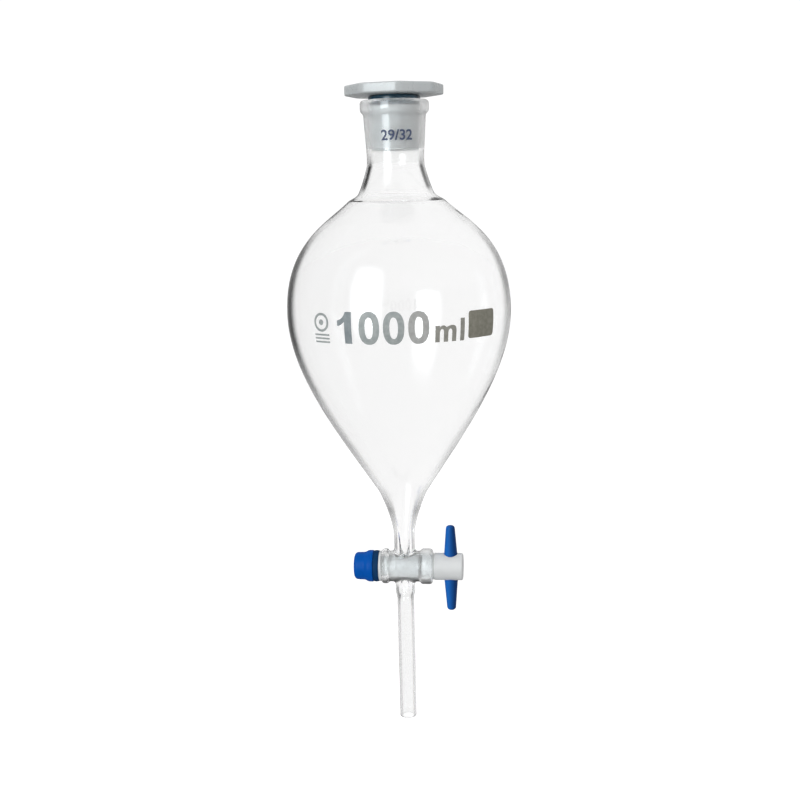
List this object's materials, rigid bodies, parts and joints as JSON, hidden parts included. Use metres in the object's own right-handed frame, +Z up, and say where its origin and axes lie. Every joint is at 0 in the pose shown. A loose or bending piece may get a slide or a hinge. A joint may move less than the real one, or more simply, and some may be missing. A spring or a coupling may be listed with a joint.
{
  "type": "separatory funnel",
  "caption": "Pear-shaped glass separatory funnel with ground socket, hollow octagonal-head stopper, PTFE stopcock with lever and cap nut, and straight stem.",
  "frame": {"origin": "on the funnel's axis, at the height where the lower cone rests in a support ring of 100 mm inside diameter", "axes": "+Z up along the funnel's axis, +X along the stopcock towards its lever, -Y towards the printed front"},
  "size_m": [0.125, 0.125, 0.3631],
  "materials": {
    "clear_glass": "clear, fire-polished",
    "grey_polyethylene": "translucent, satin",
    "dark_ring_plastic": "glossy",
    "white_ptfe": "waxy satin",
    "blue_plastic": "semi-gloss moulded",
    "pale_silicone": "translucent, matte",
    "dark_rubber": "matte",
    "grey_enamel": "fired enamel print",
    "blue_enamel": "fired enamel print"
  },
  "bodies": {
    "glass": {"ground_socket": "clear_glass", "bulb": "clear_glass", "stopcock_barrel": "clear_glass", "stem": "clear_glass"},
    "ring_body": {"stopper_ring": "dark_ring_plastic"},
    "stopper_body": {"stopper": "grey_polyethylene"},
    "key_body": {"key": "white_ptfe", "lever": "blue_plastic", "key_o_ring_head": "pale_silicone", "key_o_ring_tail": "pale_silicone"},
    "washer_body": {"thrust_washer": "white_ptfe", "tension_ring": "dark_rubber"},
    "nut_body": {"nut": "blue_plastic"}
  },
  "joints": [
    {"name": "stopper_lift", "type": "slide", "parent": "glass", "child": "ring_body", "axis": [0, 0, 1], "range_m": [0, 0.045]},
    {"name": "stopper_twist", "type": "hinge", "parent": "ring_body", "child": "stopper_body", "pos_m": [0, 0, 0.159], "axis": [0, 0, 1], "continuous": true},
    {"name": "key_turn", "type": "hinge", "parent": "glass", "child": "key_body", "pos_m": [0, 0, -0.1044], "axis": [1, 0, 0], "continuous": true},
    {"name": "nut_travel", "type": "slide", "parent": "key_body", "child": "washer_body", "axis": [-1, 0, 0], "range_m": [0, 0.0076]},
    {"name": "nut_turn", "type": "hinge", "parent": "washer_body", "child": "nut_body", "pos_m": [-0.024, 0, -0.1044], "axis": [-1, 0, 0], "range_deg": [0, 1080]}
  ],
  "couplings": [
    {"joint": "nut_travel", "follows": "nut_turn", "m_per_rad": 0.00039789}
  ]
}
